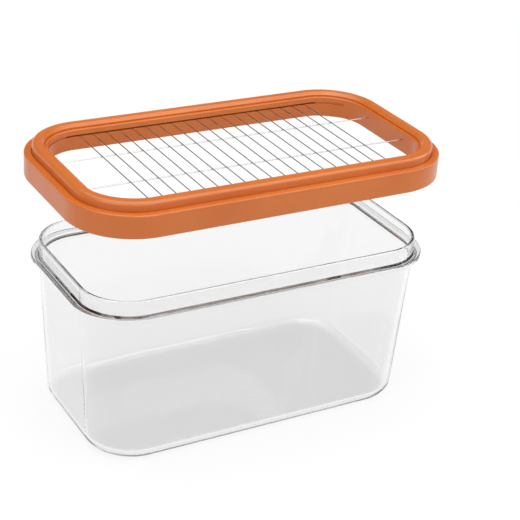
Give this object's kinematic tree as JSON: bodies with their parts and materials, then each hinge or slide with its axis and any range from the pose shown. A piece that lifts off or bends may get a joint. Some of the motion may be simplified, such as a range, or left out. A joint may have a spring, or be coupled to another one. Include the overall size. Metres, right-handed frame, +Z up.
{
  "type": "butter dish with wire cutter",
  "caption": "Clear rectangular butter box with a flanged mouth, and a lift-off frame strung with parallel wires that cuts the block into even slices.",
  "frame": {"origin": "middle of the tub's base, on the surface it stands on", "axes": "+X along the length of the tub, +Y across it, +Z up towards the mouth and the lifted cutter"},
  "size_m": [0.186, 0.102, 0.1324],
  "materials": {
    "clear_plastic": "clear injection-moulded plastic, polished",
    "orange_plastic": "orange injection-moulded plastic, satin to semi-gloss",
    "wire_steel": "drawn stainless steel wire, bright"
  },
  "bodies": {
    "tub": {"tub": "clear_plastic"},
    "cutter": {"cutter_frame": "orange_plastic", "clamp_ring": "orange_plastic", "cross_wire_01": "wire_steel", "cross_wire_02": "wire_steel", "cross_wire_03": "wire_steel", "cross_wire_04": "wire_steel", "cross_wire_05": "wire_steel", "cross_wire_06": "wire_steel", "cross_wire_07": "wire_steel", "cross_wire_08": "wire_steel", "cross_wire_09": "wire_steel", "cross_wire_10": "wire_steel", "cross_wire_11": "wire_steel", "cross_wire_12": "wire_steel", "cross_wire_13": "wire_steel", "cross_wire_14": "wire_steel", "cross_wire_15": "wire_steel", "cross_wire_16": "wire_steel", "cross_wire_17": "wire_steel", "cross_wire_18": "wire_steel", "cross_wire_19": "wire_steel", "long_wire_1": "wire_steel", "long_wire_2": "wire_steel"}
  },
  "joints": [
    {"name": "cutter_lift", "type": "slide", "parent": "tub", "child": "cutter", "axis": [0, 0, 1], "range_m": [-0.041, 0.05]}
  ]
}
